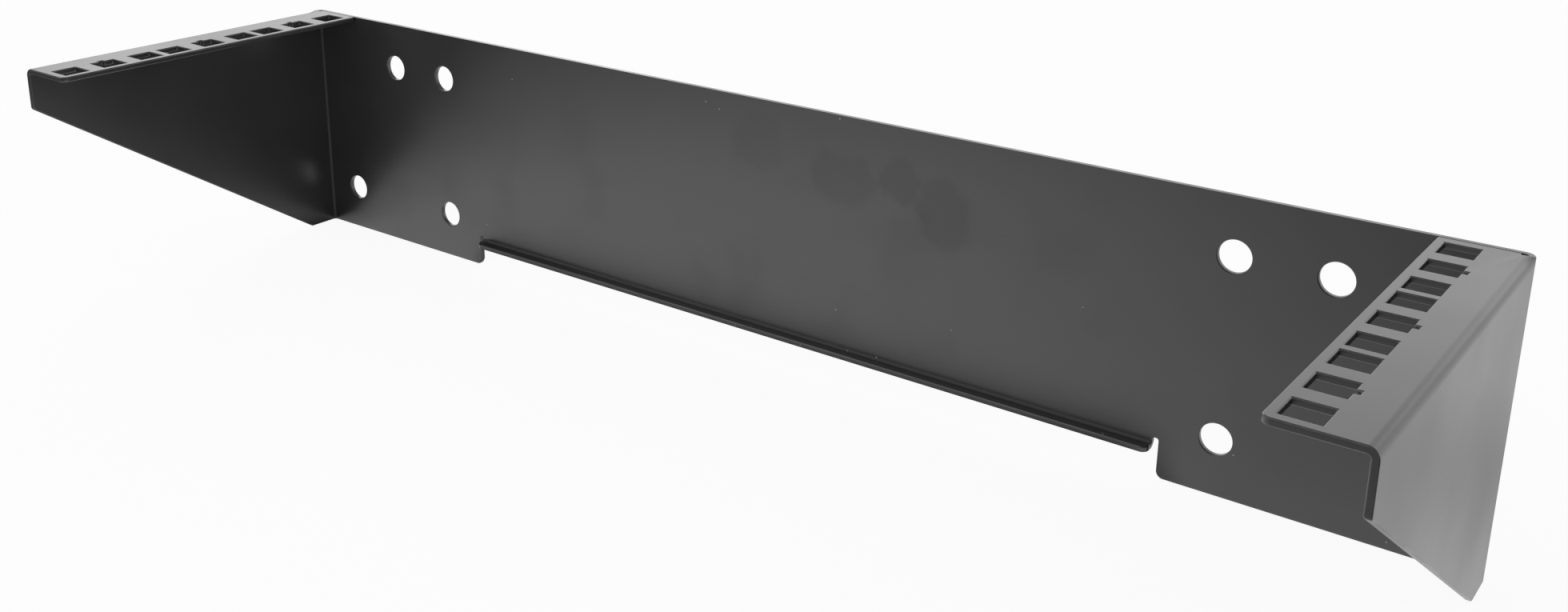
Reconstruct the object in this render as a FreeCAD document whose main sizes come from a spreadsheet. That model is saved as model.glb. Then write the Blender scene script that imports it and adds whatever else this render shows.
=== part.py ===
"""Vertical wall mount rack bracket, folded from one sheet of steel.

A back plate lies against the wall. Its two ends are folded forward into tapering
wings, and the top of each wing is folded inward into a flange with a column of
square cage nut holes on the standard rack spacing. Between two tabs the bottom
edge of the plate is folded forward into a short stiffening lip.

Frame: millimetres, X to the right, Y towards the wall, Z up. The origin lies on
the wall face, in the middle of the pattern of wall holes.
"""

import FreeCAD
import Part
import Sketcher
import math
import os

document = FreeCAD.newDocument("WallMountRackBracket")
sheet = document.addObject("Spreadsheet::Sheet", "Sizes")


class Size:
    """A length that knows its number and the formula that gives it."""

    def __init__(self, formula, number):
        self.formula = formula
        self.number = number

    def __add__(self, other):
        return Size(f"({self.formula} + {other.formula})", self.number + other.number)

    def __sub__(self, other):
        return Size(f"({self.formula} - {other.formula})", self.number - other.number)

    def __neg__(self):
        return Size(f"(-{self.formula})", -self.number)

    def __mul__(self, other):
        if isinstance(other, Size):
            return Size(f"({self.formula} * {other.formula})", self.number * other.number)
        return Size(f"({self.formula} * {other})", self.number * other)

    def __truediv__(self, other):
        return Size(f"({self.formula} / {other})", self.number / other)


def size(name, number):
    """Give the next row of the sheet a word and a number."""
    row = size.row
    size.row += 1
    sheet.set(f"A{row}", name)
    sheet.set(f"B{row}", str(number))
    sheet.setAlias(f"B{row}", name)
    return Size(f"Sizes.{name}", float(number))


size.row = 1
zero = Size("0", 0.0)

# Points closer together than this many millimetres count as one
touching = 0.01

# The sheet and its bends
sheet_thickness = size("sheet_thickness", 2)
bend_inside_radius = size("bend_inside_radius", 1.0)
seam_clearance = size("seam_clearance", 0.4)
bend_relief = size("bend_relief", 0.5)
cut_overshoot = size("cut_overshoot", 6)

# The back plate and its wings
plate_height = size("plate_height", 98)
wing_front_height = size("wing_front_height", 16)
wing_bottom_length = size("wing_bottom_length", 15)
wing_corner_radius = size("wing_corner_radius", 1.5)

# The rack hole columns and the flanges around them
rack_units = size("rack_units", 3)
hole_pitch = size("hole_pitch", 15.875)
unit_gap = size("unit_gap", 12.7)
column_spacing = size("column_spacing", 465.1)
flange_inside_margin = size("flange_inside_margin", 7.55)
flange_outside_margin = size("flange_outside_margin", 17.45)
square_hole = size("square_hole", 9.5)
keyway_width = size("keyway_width", 2)
keyway_depth = size("keyway_depth", 1.5)
front_margin = size("front_margin", 8)
rear_margin = size("rear_margin", 8.8)
flange_corner_radius = size("flange_corner_radius", 2.5)

# The wall holes
wall_hole_diameter = size("wall_hole_diameter", 10.5)
wall_row_spacing = size("wall_row_spacing", 60)
wall_hole_inset = size("wall_hole_inset", 18)
wall_hole_step = size("wall_hole_step", 30)

# The bottom edge of the plate
tab_width = size("tab_width", 96)
slit_width = size("slit_width", 2)
slit_flat = size("slit_flat", 0.3)
slit_rise = size("slit_rise", 0.2)
tab_drop = size("tab_drop", 9.4)
tab_corner_radius = size("tab_corner_radius", 2.5)
lip_depth = size("lip_depth", 6.4)
lip_corner_radius = size("lip_corner_radius", 2.4)

document.recompute()

# Lengths that follow from the sizes above
bend_outside_radius = bend_inside_radius + sheet_thickness
unit_height = hole_pitch * 2 + unit_gap
column_length = unit_height * rack_units - unit_gap
overall_depth = sheet_thickness + rear_margin + column_length + front_margin
column = column_spacing / 2
outside = column + flange_outside_margin
inside = outside - sheet_thickness
top = plate_height / 2
bottom = -top
front = -overall_depth
flange_edge = column - flange_inside_margin
fold_end = bend_outside_radius + seam_clearance
tab_edge = inside - tab_width
lip_end = tab_edge - slit_width
lip_bottom = bottom + tab_drop
lip_top = lip_bottom + sheet_thickness
lip_bend = lip_top + bend_inside_radius

body = document.addObject("PartDesign::Body", "bracket")
body.Label = "bracket"
planes = {plane.Role: plane for plane in body.Origin.OriginFeatures}


def sketch_on(role, name, offset=zero):
    """Start a sketch on an origin plane, moved along its normal by an offset."""
    sketch = body.newObject("Sketcher::SketchObject", name)
    sketch.AttachmentSupport = (planes[role], [""])
    sketch.MapMode = "FlatFace"
    sketch.setExpression("AttachmentOffset.Base.z", offset.formula)
    return sketch


def bind(sketch, kind, parts, length):
    """Add a dimension to a sketch and tie it to its formula."""
    index = sketch.addConstraint(Sketcher.Constraint(kind, *parts, length.number))
    sketch.setExpression(f"Constraints[{index}]", length.formula)


def pin(sketch, element, end, across, along):
    """Hold a point of a sketch at two distances from the sketch's origin."""
    bind(sketch, "DistanceX", (-1, 1, element, end), across)
    bind(sketch, "DistanceY", (-1, 1, element, end), along)


def outline(sketch, corners):
    """Draw a closed outline through corners, each (across, along) or (across, along, radius)."""
    count = len(corners)
    points = [FreeCAD.Vector(corner[0].number, corner[1].number, 0) for corner in corners]
    radii = [corner[2] if len(corner) == 3 else None for corner in corners]
    starts = list(points)
    ends = list(points)
    arcs = [None] * count
    for i in range(count):
        if radii[i] is None:
            continue
        before = (points[i - 1] - points[i]).normalize()
        after = (points[(i + 1) % count] - points[i]).normalize()
        half = before.getAngle(after) / 2
        reach = radii[i].number / math.tan(half)
        ends[i] = points[i] + before * reach
        starts[i] = points[i] + after * reach
        middle = points[i] + (before + after).normalize() * (radii[i].number / math.sin(half))
        crown = middle + (points[i] - middle).normalize() * radii[i].number
        arcs[i] = Part.Arc(ends[i], crown, starts[i])
    lines = []
    for i in range(count):
        segment = Part.LineSegment(starts[i], ends[(i + 1) % count])
        lines.append(sketch.addGeometry(segment, False))
    for i in range(count):
        line_before = lines[i - 1]
        line_after = lines[i]
        across, along = corners[i][0], corners[i][1]
        if arcs[i] is None:
            sketch.addConstraint(Sketcher.Constraint("Coincident", line_before, 2, line_after, 1))
            pin(sketch, line_after, 1, across, along)
            continue
        turn = sketch.addGeometry(arcs[i], False)
        forward = sketch.getPoint(turn, 1).distanceToPoint(ends[i]) < touching
        near, far = (1, 2) if forward else (2, 1)
        sketch.addConstraint(Sketcher.Constraint("Tangent", line_before, 2, turn, near))
        sketch.addConstraint(Sketcher.Constraint("Tangent", line_after, 1, turn, far))
        bind(sketch, "Radius", (turn,), radii[i])
        corner = sketch.addGeometry(Part.Point(points[i]), True)
        sketch.addConstraint(Sketcher.Constraint("PointOnObject", corner, 1, line_before))
        sketch.addConstraint(Sketcher.Constraint("PointOnObject", corner, 1, line_after))
        pin(sketch, corner, 1, across, along)


def rectangle(sketch, left, right, low, high):
    """Draw a rectangle between two distances across and two along."""
    outline(sketch, [(left, low), (right, low), (right, high), (left, high)])


def pad(sketch, name, length, both_ways=False, backwards=False):
    """Raise a sketch into material."""
    feature = body.newObject("PartDesign::Pad", name)
    feature.Profile = sketch
    feature.SideType = "Symmetric" if both_ways else "One side"
    feature.Reversed = backwards
    feature.Length = length.number
    feature.setExpression("Length", length.formula)
    return settle(feature, 1)


def pocket(sketch, name, length, both_ways=False, backwards=False):
    """Cut a sketch out of the material."""
    feature = body.newObject("PartDesign::Pocket", name)
    feature.Profile = sketch
    feature.SideType = "Symmetric" if both_ways else "One side"
    feature.Reversed = backwards
    feature.Length = length.number
    feature.setExpression("Length", length.formula)
    return settle(feature, -1)


def settle(feature, sign):
    """Compute a feature and make sure that it added or removed material as meant."""
    before = settle.volume
    document.recompute()
    settle.volume = feature.Shape.Volume
    if (settle.volume - before) * sign <= 0:
        raise RuntimeError(f"{feature.Name} changes the volume from {before} to {settle.volume}")
    return feature


settle.volume = 0.0


def round_edges(name, radius, places):
    """Round the short edges whose middles lie at the given places."""
    base = body.Tip
    names = []
    for place in places:
        target = FreeCAD.Vector(*[distance.number for distance in place])
        gaps = [edge.CenterOfMass.distanceToPoint(target) for edge in base.Shape.Edges]
        nearest = gaps.index(min(gaps))
        if gaps[nearest] > touching:
            raise RuntimeError(f"{name} finds no edge at {target}")
        names.append(f"Edge{nearest + 1}")
    feature = body.newObject("PartDesign::Fillet", name)
    feature.Base = (base, names)
    feature.Radius = radius.number
    feature.setExpression("Radius", radius.formula)
    return settle(feature, -1)


# Back plate and wings: a channel seen from above, with a bend at each end of the plate
plan = sketch_on("XY_Plane", "channel_plan")
outline(plan, [
    (-outside, front),
    (-outside, zero, bend_outside_radius),
    (outside, zero, bend_outside_radius),
    (outside, front),
    (inside, front),
    (inside, -sheet_thickness, bend_inside_radius),
    (-inside, -sheet_thickness, bend_inside_radius),
    (-inside, front),
])
pad(plan, "channel", plate_height, both_ways=True)

# Taper of the wings: a short level edge at the wall, then a straight slope up to the front
taper = sketch_on("YZ_Plane", "wing_taper_side")
outline(taper, [
    (-wing_bottom_length, bottom),
    (front, top - wing_front_height),
    (front - cut_overshoot, top - wing_front_height),
    (front - cut_overshoot, bottom - cut_overshoot),
    (-wing_bottom_length, bottom - cut_overshoot),
])
pocket(taper, "wing_taper", (outside + cut_overshoot) * 2, both_ways=True)

# Room for the folds: the wings stop where the bends of the flanges begin
clearing = sketch_on("XY_Plane", "fold_room_plan", top)
rectangle(clearing, -outside - cut_overshoot, outside + cut_overshoot, front - cut_overshoot, -fold_end)
pocket(clearing, "fold_room", bend_outside_radius)

# Flanges: each fold turns inward with its own bend and ends at the clear opening
section = sketch_on("XZ_Plane", "flange_section", fold_end)
fold_foot = top - bend_outside_radius - sheet_thickness
outline(section, [
    (outside, fold_foot),
    (outside, top, bend_outside_radius),
    (flange_edge, top),
    (flange_edge, top - sheet_thickness),
    (inside, top - sheet_thickness, bend_inside_radius),
    (inside, fold_foot),
])
outline(section, [
    (-outside, fold_foot),
    (-outside, top, bend_outside_radius),
    (-flange_edge, top),
    (-flange_edge, top - sheet_thickness),
    (-inside, top - sheet_thickness, bend_inside_radius),
    (-inside, fold_foot),
])
pad(section, "flanges", overall_depth - fold_end)

# Rear ends of the flanges: they stop a seam's width in front of the plate and clear of its bends
rear_ends = sketch_on("XY_Plane", "flange_rear_plan", top)
flange_rear_outside = outside - bend_outside_radius - bend_relief
seam_face = -(sheet_thickness + seam_clearance)
overlap = -(fold_end + sheet_thickness)
rectangle(rear_ends, flange_edge, flange_rear_outside, overlap, seam_face)
rectangle(rear_ends, -flange_rear_outside, -flange_edge, overlap, seam_face)
pad(rear_ends, "flange_rear_ends", sheet_thickness, backwards=True)

# Notch in the bottom edge of the plate, with a slit running up beside each end of the lip
notch = sketch_on("XZ_Plane", "lip_notch_front")
slit_round = (slit_width - slit_flat) / 2
slit_top = lip_bend + slit_rise + slit_round
outline(notch, [
    (-tab_edge, bottom - cut_overshoot),
    (-tab_edge, slit_top, slit_round),
    (-lip_end, slit_top, slit_round),
    (-lip_end, lip_bend),
    (lip_end, lip_bend),
    (lip_end, slit_top, slit_round),
    (tab_edge, slit_top, slit_round),
    (tab_edge, bottom - cut_overshoot),
])
pocket(notch, "lip_notch", cut_overshoot, both_ways=True)

# Stiffening lip: the plate's bottom edge folded forward between the slits
lip_section = sketch_on("YZ_Plane", "lip_section")
outline(lip_section, [
    (zero, lip_bend + sheet_thickness),
    (zero, lip_bottom, bend_outside_radius),
    (-lip_depth, lip_bottom),
    (-lip_depth, lip_top),
    (-sheet_thickness, lip_top, bend_inside_radius),
    (-sheet_thickness, lip_bend + sheet_thickness),
])
pad(lip_section, "lip", lip_end * 2, both_ways=True)

# Rounded corners of the blank
half_sheet = sheet_thickness / 2
wing_middle = outside - half_sheet
round_edges("tab_corners", tab_corner_radius, [
    (-tab_edge, -half_sheet, bottom),
    (tab_edge, -half_sheet, bottom),
])
round_edges("lip_corners", lip_corner_radius, [
    (-lip_end, -lip_depth, lip_bottom + half_sheet),
    (lip_end, -lip_depth, lip_bottom + half_sheet),
])
round_edges("flange_corners", flange_corner_radius, [
    (-flange_edge, front, top - half_sheet),
    (flange_edge, front, top - half_sheet),
])
round_edges("wing_corners", wing_corner_radius, [
    (-wing_middle, -wing_bottom_length, bottom),
    (wing_middle, -wing_bottom_length, bottom),
    (-wing_middle, front, top - wing_front_height),
    (wing_middle, front, top - wing_front_height),
])

# Wall holes: two rows, with the upper outer ones a step further in than the lower outer ones
wall_row = wall_row_spacing / 2
lower_outer = inside - wall_hole_inset
upper_outer = lower_outer - wall_hole_step
inner = upper_outer - wall_hole_step
wall_holes = sketch_on("XZ_Plane", "wall_holes_front")
for across, along in [
    (upper_outer, wall_row),
    (inner, wall_row),
    (inner, -wall_row),
    (lower_outer, -wall_row),
]:
    for sideways in (-across, across):
        centre = FreeCAD.Vector(sideways.number, along.number, 0)
        normal = FreeCAD.Vector(0, 0, 1)
        ring = Part.Circle(centre, normal, wall_hole_diameter.number / 2)
        hole = wall_holes.addGeometry(ring, False)
        bind(wall_holes, "Diameter", (hole,), wall_hole_diameter)
        pin(wall_holes, hole, 3, sideways, along)
pocket(wall_holes, "wall_holes", cut_overshoot, both_ways=True)

# Square holes of the front rack unit: the middle one has a keyway on its wing side
half_hole = square_hole / 2
half_key = keyway_width / 2
unit_holes = sketch_on("XY_Plane", "unit_holes_plan", top)
first_hole = front + front_margin
middle_hole = first_hole + hole_pitch
last_hole = middle_hole + hole_pitch
for near_side, far_side, key_end in [
    (column - half_hole, column + half_hole, column + half_hole + keyway_depth),
    (-column + half_hole, -column - half_hole, -column - half_hole - keyway_depth),
]:
    for hole_centre in (first_hole, last_hole):
        outline(unit_holes, [
            (near_side, hole_centre - half_hole),
            (far_side, hole_centre - half_hole),
            (far_side, hole_centre + half_hole),
            (near_side, hole_centre + half_hole),
        ])
    outline(unit_holes, [
        (near_side, middle_hole - half_hole),
        (far_side, middle_hole - half_hole),
        (far_side, middle_hole - half_key),
        (key_end, middle_hole - half_key),
        (key_end, middle_hole + half_key),
        (far_side, middle_hole + half_key),
        (far_side, middle_hole + half_hole),
        (near_side, middle_hole + half_hole),
    ])
unit_pocket = pocket(unit_holes, "unit_holes", cut_overshoot)

# The same holes again for each further rack unit
columns = body.newObject("PartDesign::LinearPattern", "hole_columns")
columns.Originals = [unit_pocket]
columns.Direction = (planes["Y_Axis"], [""])
columns.Length = (unit_height * rack_units - unit_height).number
columns.setExpression("Length", (unit_height * rack_units - unit_height).formula)
columns.Occurrences = int(rack_units.number)
columns.setExpression("Occurrences", rack_units.formula)
body.Tip = columns
settle(columns, -1)

# Every feature must have worked and the piece must be one sound solid
for item in document.Objects:
    if "Invalid" in item.State or "Error" in item.State:
        raise RuntimeError(f"{item.Name} failed: {item.State}")
for sketch in document.findObjects("Sketcher::SketchObject"):
    if sketch.solve() != 0:
        raise RuntimeError(f"{sketch.Name} is not solved")
piece = body.Shape
if piece.isNull() or not piece.isValid() or len(piece.Solids) != 1:
    raise RuntimeError("The bracket is not one valid solid")
box = piece.BoundBox
print(f"bracket {box.XLength:.2f} x {box.YLength:.2f} x {box.ZLength:.2f} mm, volume {piece.Volume:.0f} mm3")

os.makedirs("parts", exist_ok=True)
piece.exportStep(f"parts/{body.Label}.step")
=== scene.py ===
# %% [markdown]
# This lesson dresses a wall mount rack bracket. The real one is cut from a single sheet of
# steel, folded, and painted with black powder that is melted into a satin skin.
# The solid that is loaded here already has every fold and hole. It is the measure of all that
# follows, so its box is noted before anything else is made.

# %% Load the bracket
import math

import bmesh
import bpy
from mathutils import Matrix, Vector


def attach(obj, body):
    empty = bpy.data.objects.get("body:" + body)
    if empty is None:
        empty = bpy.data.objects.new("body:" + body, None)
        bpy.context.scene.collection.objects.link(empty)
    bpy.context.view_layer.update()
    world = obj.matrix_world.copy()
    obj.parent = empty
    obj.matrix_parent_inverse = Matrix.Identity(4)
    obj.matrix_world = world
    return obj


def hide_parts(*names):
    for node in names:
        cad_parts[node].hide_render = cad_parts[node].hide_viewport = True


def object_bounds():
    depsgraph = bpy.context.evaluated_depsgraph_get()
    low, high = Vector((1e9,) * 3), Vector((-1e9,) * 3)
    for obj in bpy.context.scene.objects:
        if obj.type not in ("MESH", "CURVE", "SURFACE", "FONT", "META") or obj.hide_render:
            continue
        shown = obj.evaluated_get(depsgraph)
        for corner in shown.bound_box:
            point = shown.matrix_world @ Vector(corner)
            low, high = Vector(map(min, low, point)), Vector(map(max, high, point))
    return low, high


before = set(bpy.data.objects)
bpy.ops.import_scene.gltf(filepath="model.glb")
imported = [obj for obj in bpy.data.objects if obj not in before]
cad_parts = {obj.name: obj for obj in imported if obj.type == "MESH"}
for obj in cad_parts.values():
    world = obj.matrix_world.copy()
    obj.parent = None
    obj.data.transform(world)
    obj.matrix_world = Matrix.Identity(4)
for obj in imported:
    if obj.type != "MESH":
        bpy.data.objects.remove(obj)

scene = bpy.context.scene
cad_low, cad_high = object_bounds()
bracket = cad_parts["bracket"]
print("bracket has", len(bracket.data.polygons), "triangles")
print("bracket measures", (cad_high - cad_low)[:], "metres")

# %% [markdown]
# The edges come first. A punched sheet has no knife edges: the punch drags the steel round on
# one side, and the powder flows over the other, so each edge ends up as a small round that
# catches the light in a thin line. A bump in the paint could only hint at that, so the round
# is made in the mesh. The solid's own mesh is left alone, and a copy is worked on. Its loose
# triangles are merged and joined into whole faces, because a bevel needs clean corners.

# %% Copy of the sheet with whole faces
same_point = 1e-6
flat_angle = math.radians(0.5)
sheet = bmesh.new()
sheet.from_mesh(bracket.data)
bmesh.ops.remove_doubles(sheet, verts=sheet.verts, dist=same_point)
bmesh.ops.dissolve_limit(
    sheet, angle_limit=flat_angle, verts=sheet.verts, edges=sheet.edges)
open_edges = sum(not edge.is_manifold for edge in sheet.edges)
print("sheet has", len(sheet.faces), "faces and", open_edges, "open edges")

# %% [markdown]
# At the two rear corners three folds meet. On the solid the long fold beside the flange stops
# there in a hard step. On the real sheet the press draws the steel out, so that the round of
# the fold grows into the square corner over a few millimetres. The mesh is cut once across the
# fold, and the ring of points at its end is pushed out onto the square. A separate filler
# piece would show its joint, which is why the fold itself is bent.

# %% Drawn corners
plane_slack = 1e-5
round_slack = 1e-4
fold_end_y = -0.0034
draw_length = 0.006
fold_radius = 0.003
fold_x = cad_high.x - fold_radius
fold_z = cad_high.z - fold_radius


def fold_offset(vertex):
    return Vector((abs(vertex.co.x) - fold_x, vertex.co.z - fold_z))


def on_outer_fold(vertex):
    out = fold_offset(vertex)
    return min(out) > -plane_slack and abs(out.length - fold_radius) < round_slack


def whole(part, test):
    return all(test(vertex) for vertex in part.verts)


fold_faces = [face for face in sheet.faces if whole(face, on_outer_fold)]
fold_parts = set(fold_faces)
for face in fold_faces:
    fold_parts.update(face.edges)
    fold_parts.update(face.verts)
draw_start = (0, fold_end_y - draw_length, 0)
bmesh.ops.bisect_plane(
    sheet, geom=list(fold_parts), plane_co=draw_start, plane_no=(0, 1, 0))
drawn = [
    vertex for vertex in sheet.verts
    if abs(vertex.co.y - fold_end_y) < plane_slack and on_outer_fold(vertex)
]
for vertex in drawn:
    out = fold_offset(vertex)
    out *= fold_radius / max(out)
    vertex.co.x = math.copysign(fold_x + out.x, vertex.co.x)
    vertex.co.z = fold_z + out.y
print(len(drawn), "points drawn out over", 1000 * draw_length, "mm at the rear corners")

# %% [markdown]
# The hollow side of each fold is marked for the paint. Powder flies to the sheet by static
# charge, and a hollow is shielded by the walls beside it, so the coat stays thin and rough
# there. A mark on the faces is chosen because the paint can read it later without measuring
# again.

# %% Hollow folds
inside_radius = 0.001
hollow_slack = 2e-5
lip_fold_z = -0.0366


def in_hollow(vertex):
    across = abs(vertex.co.x) - fold_x
    along = vertex.co.y + fold_radius
    back = math.hypot(across, along)
    flange = math.hypot(across, vertex.co.z - fold_z)
    lip = math.hypot(along, vertex.co.z - lip_fold_z)
    return min(abs(away - inside_radius) for away in (back, flange, lip)) < hollow_slack


hollow_fold = sheet.faces.layers.float.new("hollow_fold")
hollows = [face for face in sheet.faces if whole(face, in_hollow)]
for face in hollows:
    face[hollow_fold] = 1
print(len(hollows), "faces lie in hollow folds")

# %% [markdown]
# Only the cut edges are rounded. The folds are smooth already, in steps of a few degrees, so
# an angle tells the two apart. The drawn corners stay as they are: they are round by now.
# So do the edges of two gaps that rounding would open to the light, because they are so
# narrow: the seam between flange and plate, and the slit at the left end of the lip.

# %% Rounded cut edges
edge_round = 0.00045
cut_angle = math.radians(50)
corner_x = 0.24645
corner_z = 0.0455
seam_x = 0.2249
seam_front = -0.0025
seam_back = -0.0019
slit_left = -0.1521
slit_right = -0.1499
slit_top = -0.035


def in_drawn_corner(vertex):
    ahead = fold_end_y - vertex.co.y
    return (
        -plane_slack < ahead < draw_length + plane_slack
        and abs(vertex.co.x) > corner_x
        and vertex.co.z > corner_z
    )


def on_seam(vertex):
    return (
        seam_front < vertex.co.y < seam_back
        and abs(vertex.co.x) > seam_x
        and vertex.co.z > cad_high.z - plane_slack
    )


def in_left_slit(vertex):
    return slit_left < vertex.co.x < slit_right and vertex.co.z < slit_top


cut_edge = sheet.faces.layers.float.new("cut_edge")
cut_edges = [edge for edge in sheet.edges if edge.calc_face_angle() > cut_angle]
kept_sharp = (in_drawn_corner, in_left_slit, on_seam)
soft_edges = [
    edge for edge in cut_edges if not any(whole(edge, test) for test in kept_sharp)
]
rounds = bmesh.ops.bevel(
    sheet,
    geom=soft_edges,
    offset=edge_round,
    offset_type="OFFSET",
    segments=4,
    profile=0.5,
    affect="EDGES",
    material=-1,
    clamp_overlap=False,
)
for face in rounds["faces"]:
    face[cut_edge] = 1
print(len(soft_edges), "of", len(cut_edges), "cut edges rounded")
print("sheet has", len(sheet.faces), "faces now")

# %% [markdown]
# The rounded sheet becomes a piece of its own and stands in for the solid. Its faces are shaded
# smooth, and the weighted normals keep the large flat faces flat right up to their rounds.

# %% Painted sheet
for face in sheet.faces:
    face.smooth = True
for edge in sheet.edges:
    edge.smooth = edge.calc_face_angle() < cut_angle
sheet_mesh = bpy.data.meshes.new("painted_sheet")
sheet.to_mesh(sheet_mesh)
sheet.free()
painted_sheet = bpy.data.objects.new("painted_sheet", sheet_mesh)
scene.collection.objects.link(painted_sheet)
flat_faces = painted_sheet.modifiers.new("flat_faces", "WEIGHTED_NORMAL")
flat_faces.keep_sharp = True
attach(painted_sheet, "root")
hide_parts("bracket")
print("painted sheet has", len(sheet_mesh.polygons), "faces")

# %% [markdown]
# A material in Blender is a tree of nodes, and writing one out socket by socket hides the
# thought behind it. One small class wraps a socket instead, so that the paint can be written
# as sums. Each sum adds its Math node, and every other node comes from the method called add.

# %% A socket that can be reckoned with
class Shade:
    def __init__(self, tree, socket=None):
        self.tree = tree
        self.socket = socket

    def add(self, kind, settings=None, values=None, output=0):
        node = self.tree.nodes.new(kind)
        for name, setting in (settings or {}).items():
            setattr(node, name, setting)
        for name, value in (values or {}).items():
            if isinstance(value, Shade):
                self.tree.links.new(value.socket, node.inputs[name])
            else:
                node.inputs[name].default_value = value
        return Shade(self.tree, node.outputs[output] if node.outputs else None)

    def reckon(self, operation, first, second):
        return self.add("ShaderNodeMath", {"operation": operation}, {0: first, 1: second})

    def __add__(self, other):
        return self.reckon("ADD", self, other)

    def __radd__(self, other):
        return self.reckon("ADD", other, self)

    def __sub__(self, other):
        return self.reckon("SUBTRACT", self, other)

    def __rsub__(self, other):
        return self.reckon("SUBTRACT", other, self)

    def __mul__(self, other):
        return self.reckon("MULTIPLY", self, other)

    def __rmul__(self, other):
        return self.reckon("MULTIPLY", other, self)


def empty_tree(owner):
    owner.use_nodes = True
    owner.node_tree.nodes.clear()
    return Shade(owner.node_tree)


powder = bpy.data.materials.new("satin_black_powder")
paint = empty_tree(powder)
print(powder.name, "starts with", len(powder.node_tree.nodes), "nodes")

# %% [markdown]
# Now the paint. The powder is sprayed on dry and melted in an oven, where it sets to a skin a
# tenth of a millimetre thick. Seen close, it is pebbled: the specks ran together but not quite
# flat. Under that fine grain lies a slower swell that painters call orange peel. Both are
# far too small to model, so they are height for a bump, and the noise is sized in real
# millimetres because Object coordinates are metres.

# %% Grain of the powder
grains_per_metre = 1100
grain_share = 0.7
peels_per_metre = 380
peel_share = 0.3
skin_depth = 0.0001
relief_strength = 0.12
place = paint.add("ShaderNodeTexCoord", output="Object")


def noise(per_metre, detail):
    cells = {"Vector": place, "Scale": per_metre, "Detail": detail}
    return paint.add("ShaderNodeTexNoise", {}, cells)


grain = noise(grains_per_metre, detail=3)
peel = noise(peels_per_metre, detail=1)
height = grain_share * grain + peel_share * peel
relief = paint.add("ShaderNodeBump", {}, {
    "Height": height, "Strength": relief_strength, "Distance": skin_depth})
print("grain of", round(1000 / grains_per_metre, 1), "mm on a peel of",
      round(1000 / peels_per_metre, 1), "mm")

# %% [markdown]
# Black paint is never one black. It dries a little thicker here and thinner there, which
# shifts both its tone and its gloss in soft clouds the size of a palm. One noise drives both,
# so that a lighter cloud is also a duller one, as on the real sheet. The back plate also has
# duller patches where it was wiped. They end before the wings, which mirror at so flat an
# angle that each patch would stand out there.

# %% Clouds of tone
deep_black = (0.0150, 0.0150, 0.0158, 1)
soft_black = (0.0235, 0.0235, 0.0243, 1)
clouds_per_metre = 14
cloud_range = (0.3, 0.7)
wipes_per_metre = 28
wiped_range = (0.48, 0.72)
plate_range = (-0.0040, -0.0025)
plain_roughness = 0.27
cloud_roughness = 0.06
wiped_roughness = 0.07
mix_share, mix_first, mix_second, mix_result = 0, 6, 7, 2


def fade(value, start, end, curve="LINEAR"):
    limits = {"Value": value, "From Min": start, "From Max": end}
    return value.add("ShaderNodeMapRange", {"interpolation_type": curve}, limits)


def smooth(value, start, end):
    return fade(value, start, end, "SMOOTHSTEP")


def blend(share, first, second):
    colours = {mix_share: share, mix_first: first, mix_second: second}
    return share.add("ShaderNodeMix", {"data_type": "RGBA"}, colours, mix_result)


def part_of(vector, axis):
    return vector.add("ShaderNodeSeparateXYZ", {}, {"Vector": vector}, axis)


cloud = smooth(noise(clouds_per_metre, detail=4), *cloud_range)
tone = blend(cloud, deep_black, soft_black)
on_plate = smooth(part_of(place, "Y"), *plate_range)
wiped = on_plate * smooth(noise(wipes_per_metre, detail=5), *wiped_range)
satin = plain_roughness + cloud_roughness * cloud + wiped_roughness * wiped
print("tone from", deep_black[:3], "to", soft_black[:3])

# %% [markdown]
# A bracket like this gets carried by its back plate, and satin black shows each finger. The
# marks sit in a row near the top edge, as a left hand would leave them. Each is a soft disc
# around a point on the plate, with its rim frayed by noise, and it only dulls the gloss.
# Two fingers slid a little, so they have two discs each, and the first pressed lightly.
# A drawn picture could do the same, but these few distances need no file and no map.
# Each row holds the place across and up, the radius, and how hard the finger pressed.

# %% Finger marks on the back plate
finger_tips = [
    (-0.0060, 0.0330, 0.0140, 0.55),
    (0.0270, 0.0265, 0.0115, 0.85),
    (0.0350, 0.0265, 0.0115, 0.85),
    (0.0540, 0.0300, 0.0100, 1.00),
    (0.0705, 0.0245, 0.0120, 1.00),
    (0.0720, 0.0180, 0.0120, 1.00),
]
finger_roughness = 0.10
full_share = 0.6
frays_per_metre = 160
fray_width = 0.008
middle_noise = 0.5
sheet_thickness = 0.002
plate_front = cad_high.y - sheet_thickness


def distance(vector, point):
    ends = {0: vector, 1: point}
    return vector.add("ShaderNodeVectorMath", {"operation": "DISTANCE"}, ends, "Value")


fray = fray_width * (noise(frays_per_metre, detail=3) - middle_noise)
smudge = 0
for across, up, radius, pressed in finger_tips:
    away = distance(place, (across, plate_front, up)) + fray
    mark = 1 - smooth(away, full_share * radius, radius)
    smudge = paint.reckon("MAXIMUM", smudge, pressed * mark)
satin = satin + finger_roughness * smudge
print(len(finger_tips), "discs make the finger marks")

# %% [markdown]
# Dust settles on paint while it is still soft, and a few grains stay in it as pale specks.
# A Voronoi texture scatters points through space. Only points that lie close to the sheet
# show, and only one cell in ten is let through, so the specks are rare and uneven.

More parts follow.
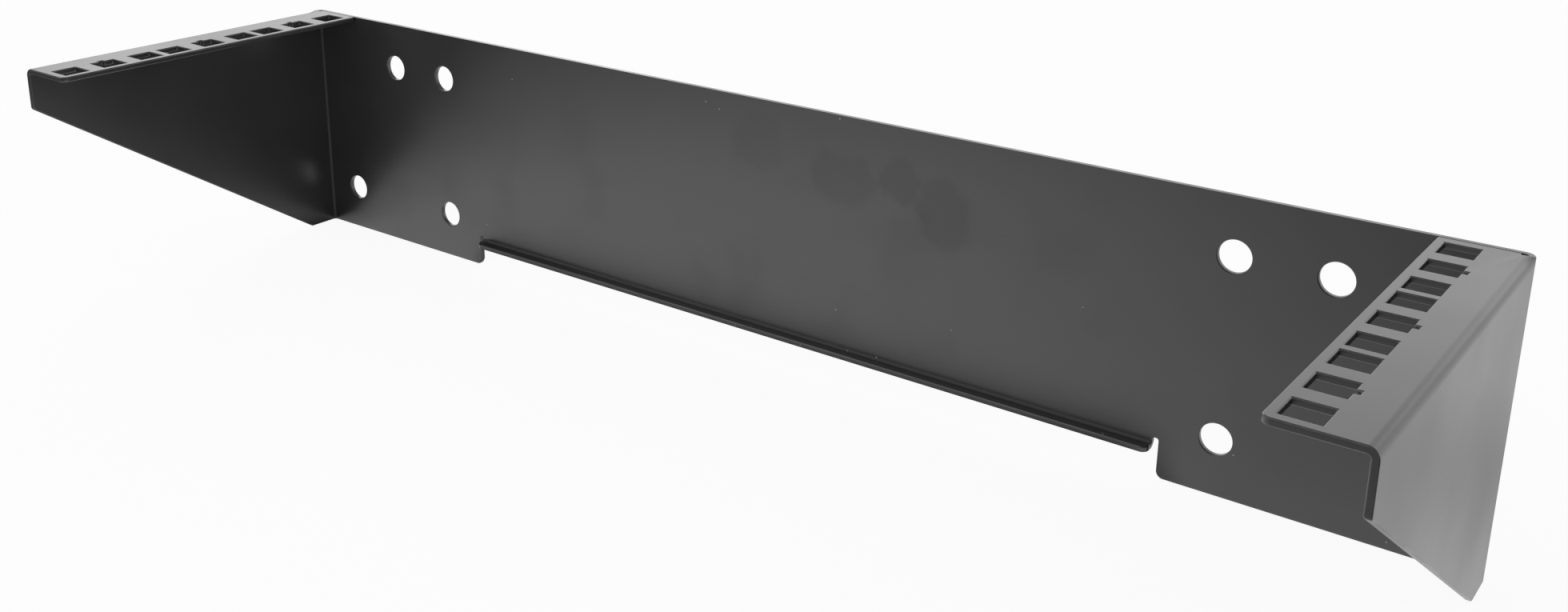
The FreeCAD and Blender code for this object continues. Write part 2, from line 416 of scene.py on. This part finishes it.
# %% Dust in the paint
dust_per_metre = 170
dust_range = (0.9, 0.91)
dust_core = 0.03
dust_rim = 0.06
dust_cover = 0.7
dust_pale = (0.45, 0.45, 0.43, 1)
dust_cells = {"Vector": place, "Scale": dust_per_metre}
dust_away = paint.add("ShaderNodeTexVoronoi", {}, dust_cells, "Distance")
dust_pick = paint.add("ShaderNodeTexVoronoi", {}, dust_cells, "Color")
dust_draw = paint.add("ShaderNodeSeparateColor", {}, {"Color": dust_pick}, "Red")
dust = smooth(dust_draw, *dust_range) * (1 - smooth(dust_away, dust_core, dust_rim))
tone = blend(dust_cover * dust, tone, dust_pale)
print("dust specks up to", round(2000 * dust_rim / dust_per_metre, 1), "mm wide")

# %% [markdown]
# In the hollow folds the thin coat is rougher, so the narrow round there stays dull instead of
# drawing a bright line down the corner. The mark on those faces is read as an attribute.

# %% Thin coat in the hollows
hollow_roughness = 0.4


def face_mark(name):
    return paint.add("ShaderNodeAttribute", {"attribute_name": name}, output="Fac")


satin = satin + hollow_roughness * face_mark("hollow_fold")
print("hollows are rougher by", hollow_roughness)

# %% [markdown]
# Powder pulls back from a sharp edge as it melts, so the rounds along the cuts carry the
# thinnest paint. Handling rubs them first, and they turn a little greyer and smoother in
# patches. The rounds were marked as faces when the bevel made them, and the mark is read here
# as an attribute, which follows the edges exactly.

# %% Rubbed edges
rubs_per_metre = 90
rub_range = (0.42, 0.66)
rub_cover = 0.55
rub_polish = 0.04
rub_grey = (0.060, 0.060, 0.062, 1)
rub = face_mark("cut_edge") * smooth(noise(rubs_per_metre, detail=4), *rub_range)
tone = blend(rub_cover * rub, tone, rub_grey)
satin = satin - rub_polish * rub
print("edges rubbed in patches of about", round(1000 / rubs_per_metre), "mm")

# %% [markdown]
# All of it meets in one shader. The paint is a clear resin full of soot: nearly black below,
# with a sharper gleam on top than bare plastic has. That gleam is the same everywhere,
# so it is a plain number on the shader itself.

# %% Powder coat
skin = paint.add("ShaderNodeBsdfPrincipled", {}, {
    "Base Color": tone,
    "Roughness": satin,
    "IOR": 1.55,
    "Specular IOR Level": 1.0,
    "Normal": relief,
})
paint.add("ShaderNodeOutputMaterial", {}, {"Surface": skin})
sheet_mesh.materials.append(powder)
print("powder coat has", len(powder.node_tree.nodes), "nodes")

# %% [markdown]
# The floor is plain and pale, a single sheet of the kind that product photographs are taken on.
# To the camera it is white, which a stronger lamp could also give, but that would wash out
# the paint as well. So the floor glows by itself for the rays that look at it, and a small
# share of its lit colour is left in, which is where the shadow of the bracket shows.

# %% Floor
floor_reach = 5
floor_gap = 0.0002
floor_z = cad_low.z - floor_gap
floor_mesh = bpy.data.meshes.new("floor")
ground = bmesh.new()
bmesh.ops.create_grid(ground, x_segments=1, y_segments=1, size=floor_reach)
bmesh.ops.translate(ground, vec=(0, 0, floor_z), verts=ground.verts)
ground.to_mesh(floor_mesh)
ground.free()
floor = bpy.data.objects.new("floor", floor_mesh)
scene.collection.objects.link(floor)
floor_paint = bpy.data.materials.new("floor_paint")
pale = empty_tree(floor_paint)
floor_mesh.materials.append(floor_paint)
print("floor lies", round(1000 * floor_z, 1), "mm from the middle of the bracket")

# %% [markdown]
# Satin paint is half a mirror, and what the back plate shows is the floor in front of it. In
# a studio that floor is bright only in a pool under the lamp and darker towards the room. So
# the glow dims away from the pool, for reflections alone, by a few soft fades of place. Each
# fade is 0 at its first place and 1 at its second, both in metres.

# %% Pool of light on the floor
pool = (-0.11, -0.12, cad_low.z)
left_dimming = 0.75
spot = pale.add("ShaderNodeTexCoord", output="Object")
spot_x = part_of(spot, "X")
spot_y = part_of(spot, "Y")
dim_front = fade(distance(spot, pool), 0.09, 0.48) * fade(spot_y, -0.02, -0.14)
dim_left = left_dimming * fade(spot_x, -0.25, -0.34) * fade(spot_y, -0.20, -0.14)
print("pool of light round", pool[:2], "on the floor")

# %% [markdown]
# The bracket shades the floor itself, and the glow hides that. Soft shades put it back for
# reflections: in front of the lip, beside the right tab, behind the right wing and in the left
# corner. The lip is seen aslant, so its shade runs aslant too. The left wing looks at the floor
# from the other side than the plate does, so its shade is told apart by where the ray came
# from.

# %% Shades of the bracket
tab_dimming = 0.24
wing_dimming = 0.28
lip_dimming = 0.9
lip_slant = 0.75
left_wing_dimming = 0.5
corner_dimming = 0.5
wing_shade = (0.29, 0.065, cad_low.z)
in_front = fade(spot_y, -0.001, -0.004)
beside_tab = fade(spot_x, 0.09, 0.18) * fade(spot_x, 0.24, 0.22) * fade(spot_y, -0.075, -0.050)
behind_wing = fade(distance(spot, wing_shade), 0.08, 0.02)
lip_line = spot_x - lip_slant * spot_y
lip_span = fade(lip_line, -0.158, -0.146) * fade(lip_line, 0.165, 0.150)
before_lip = lip_span * fade(spot_y, -0.040, -0.022)
came_from = pale.add("ShaderNodeNewGeometry", output="Incoming")
under_left_wing = fade(part_of(came_from, "X"), 0.0, -0.4) * fade(spot_x, -0.06, -0.12)
left_corner = fade(spot_x, -0.226, -0.246) * fade(spot_y, -0.06, -0.015)
front_shades = tab_dimming * beside_tab + lip_dimming * before_lip + corner_dimming * left_corner
wing_shades = wing_dimming * behind_wing + left_wing_dimming * under_left_wing
shades = front_shades * in_front + wing_shades
print("shades at the lip, the right tab, both wings and the left corner")

# %% [markdown]
# Light Path tells which ray is asking. Camera, glossy and transmitted rays meet the glowing
# floor, and all others meet plain pale paint, so the glow lights nothing.

# %% Floor paint
floor_pale = 0.9
glow_share = 0.93
dimmest_glow = 0.1


def grey(level):
    return (level, level, level, 1)


def ray(tree, kind):
    return tree.add("ShaderNodeLightPath", output="Is " + kind + " Ray")


def looking(tree):
    return ray(tree, "Camera") + ray(tree, "Glossy") + ray(tree, "Transmission")


dimmed = (dim_front + dim_left + shades) * ray(pale, "Glossy")
glow = blend(dimmed, grey(1), grey(dimmest_glow))
white = pale.add("ShaderNodeEmission", {}, {"Color": glow, "Strength": 1})
lit = pale.add("ShaderNodeBsdfDiffuse", {}, {"Color": grey(floor_pale)})
floor_mix = pale.add("ShaderNodeMixShader", {}, {
    0: glow_share * looking(pale), 1: lit, 2: white})
pale.add("ShaderNodeOutputMaterial", {}, {"Surface": floor_mix})
print("floor paint has", len(floor_paint.node_tree.nodes), "nodes")

# %% [markdown]
# The room round the floor is a plain white sky. It lights the bracket evenly and gently. In
# reflections its upper part and the side that faces the front of the bracket are dark, as the
# ceiling and the unlit half of a studio are. Without them each small round along an edge would
# shine like a wire. A picture of a studio could serve, but two fades need no file.

# %% Studio sky
unlit_level = 0.25
sky_light = 0.6
room_side = (0.3, -0.954, 0)
world = bpy.data.worlds.new("studio")
scene.world = world
sky = empty_tree(world)
heading = sky.add("ShaderNodeTexCoord", output="Generated")
forward = sky.add(
    "ShaderNodeVectorMath", {"operation": "DOT_PRODUCT"}, {0: heading, 1: room_side}, "Value")
unlit_half = fade(forward, -0.1, 0.35)
ceiling = fade(part_of(heading, "Z"), 0.3, 0.6)
sky_tone = blend((unlit_half + ceiling) * ray(sky, "Glossy"), grey(1), grey(unlit_level))
bright = sky.add("ShaderNodeBackground", {}, {"Color": sky_tone, "Strength": 1})
dim = sky.add("ShaderNodeBackground", {}, {"Color": grey(1), "Strength": sky_light})
sky_mix = sky.add("ShaderNodeMixShader", {}, {0: looking(sky), 1: dim, 2: bright})
sky.add("ShaderNodeOutputWorld", {}, {"Surface": sky_mix})
print("sky has", len(world.node_tree.nodes), "nodes")

# %% [markdown]
# Three soft boxes do the rest. A weak one hangs at the front left. Two low ones stand behind,
# and the flanges and the right wing mirror them at a flat angle, which turns black paint to mid
# grey there. Small hard lamps would print their own shape on the satin, so all three are wide.

# %% Soft boxes


def soft_lamp(name, position, width, depth, watts):
    lamp = bpy.data.lights.new(name, "AREA")
    lamp.shape = "RECTANGLE"
    lamp.size = width
    lamp.size_y = depth
    lamp.energy = watts
    holder = bpy.data.objects.new(name, lamp)
    holder.location = position
    holder.rotation_euler = (-Vector(position)).to_track_quat("-Z", "Y").to_euler()
    holder.visible_camera = False
    scene.collection.objects.link(holder)
    print(name, "gives", watts, "W from", round(Vector(position).length, 2), "m")


soft_lamp("key_lamp", (-0.7, -1.0, 1.0), width=1.2, depth=1.2, watts=4)
soft_lamp("low_back_lamp", (-0.3, 1.3, 0.5), width=2.4, depth=0.8, watts=4)
soft_lamp("left_back_lamp", (-1.2, 0.8, 0.6), width=0.8, depth=0.8, watts=1.6)

# %% [markdown]
# The camera stands close, high and to the right, so the right wing looms and the left one
# shrinks. Its place was worked out from the square holes, whose real distances are known. The
# picture was trimmed after it was taken, so its optical centre isn't in the middle, and the
# lens is shifted by just that much. Every part stays sharp, as it is in the photograph.

# %% Camera
image_width = 1960
image_height = 765
focal_pixels = 1992.19
axis_across = 921.65
axis_down = 198.89
lean = math.radians(0.35)
eye = Vector((0.31997, -0.44402, 0.19707))
target = Vector((0.01529, -0.04218, 0.04032))
lens = bpy.data.cameras.new("camera")
lens.sensor_fit = "HORIZONTAL"
lens.sensor_width = 36
lens.lens = focal_pixels * lens.sensor_width / image_width
lens.shift_x = (image_width / 2 - axis_across) / image_width
lens.shift_y = (axis_down - image_height / 2) / image_width
lens.clip_start = 0.01
level_view = (target - eye).to_track_quat("-Z", "Y").to_matrix()
camera = bpy.data.objects.new("camera", lens)
camera.location = eye
camera.rotation_euler = (level_view @ Matrix.Rotation(lean, 3, "Z")).to_euler()
scene.collection.objects.link(camera)
scene.camera = camera
scene.view_settings.view_transform = "Standard"
print("camera looks from", round((target - eye).length, 2), "m through a",
      round(lens.lens, 1), "mm lens")
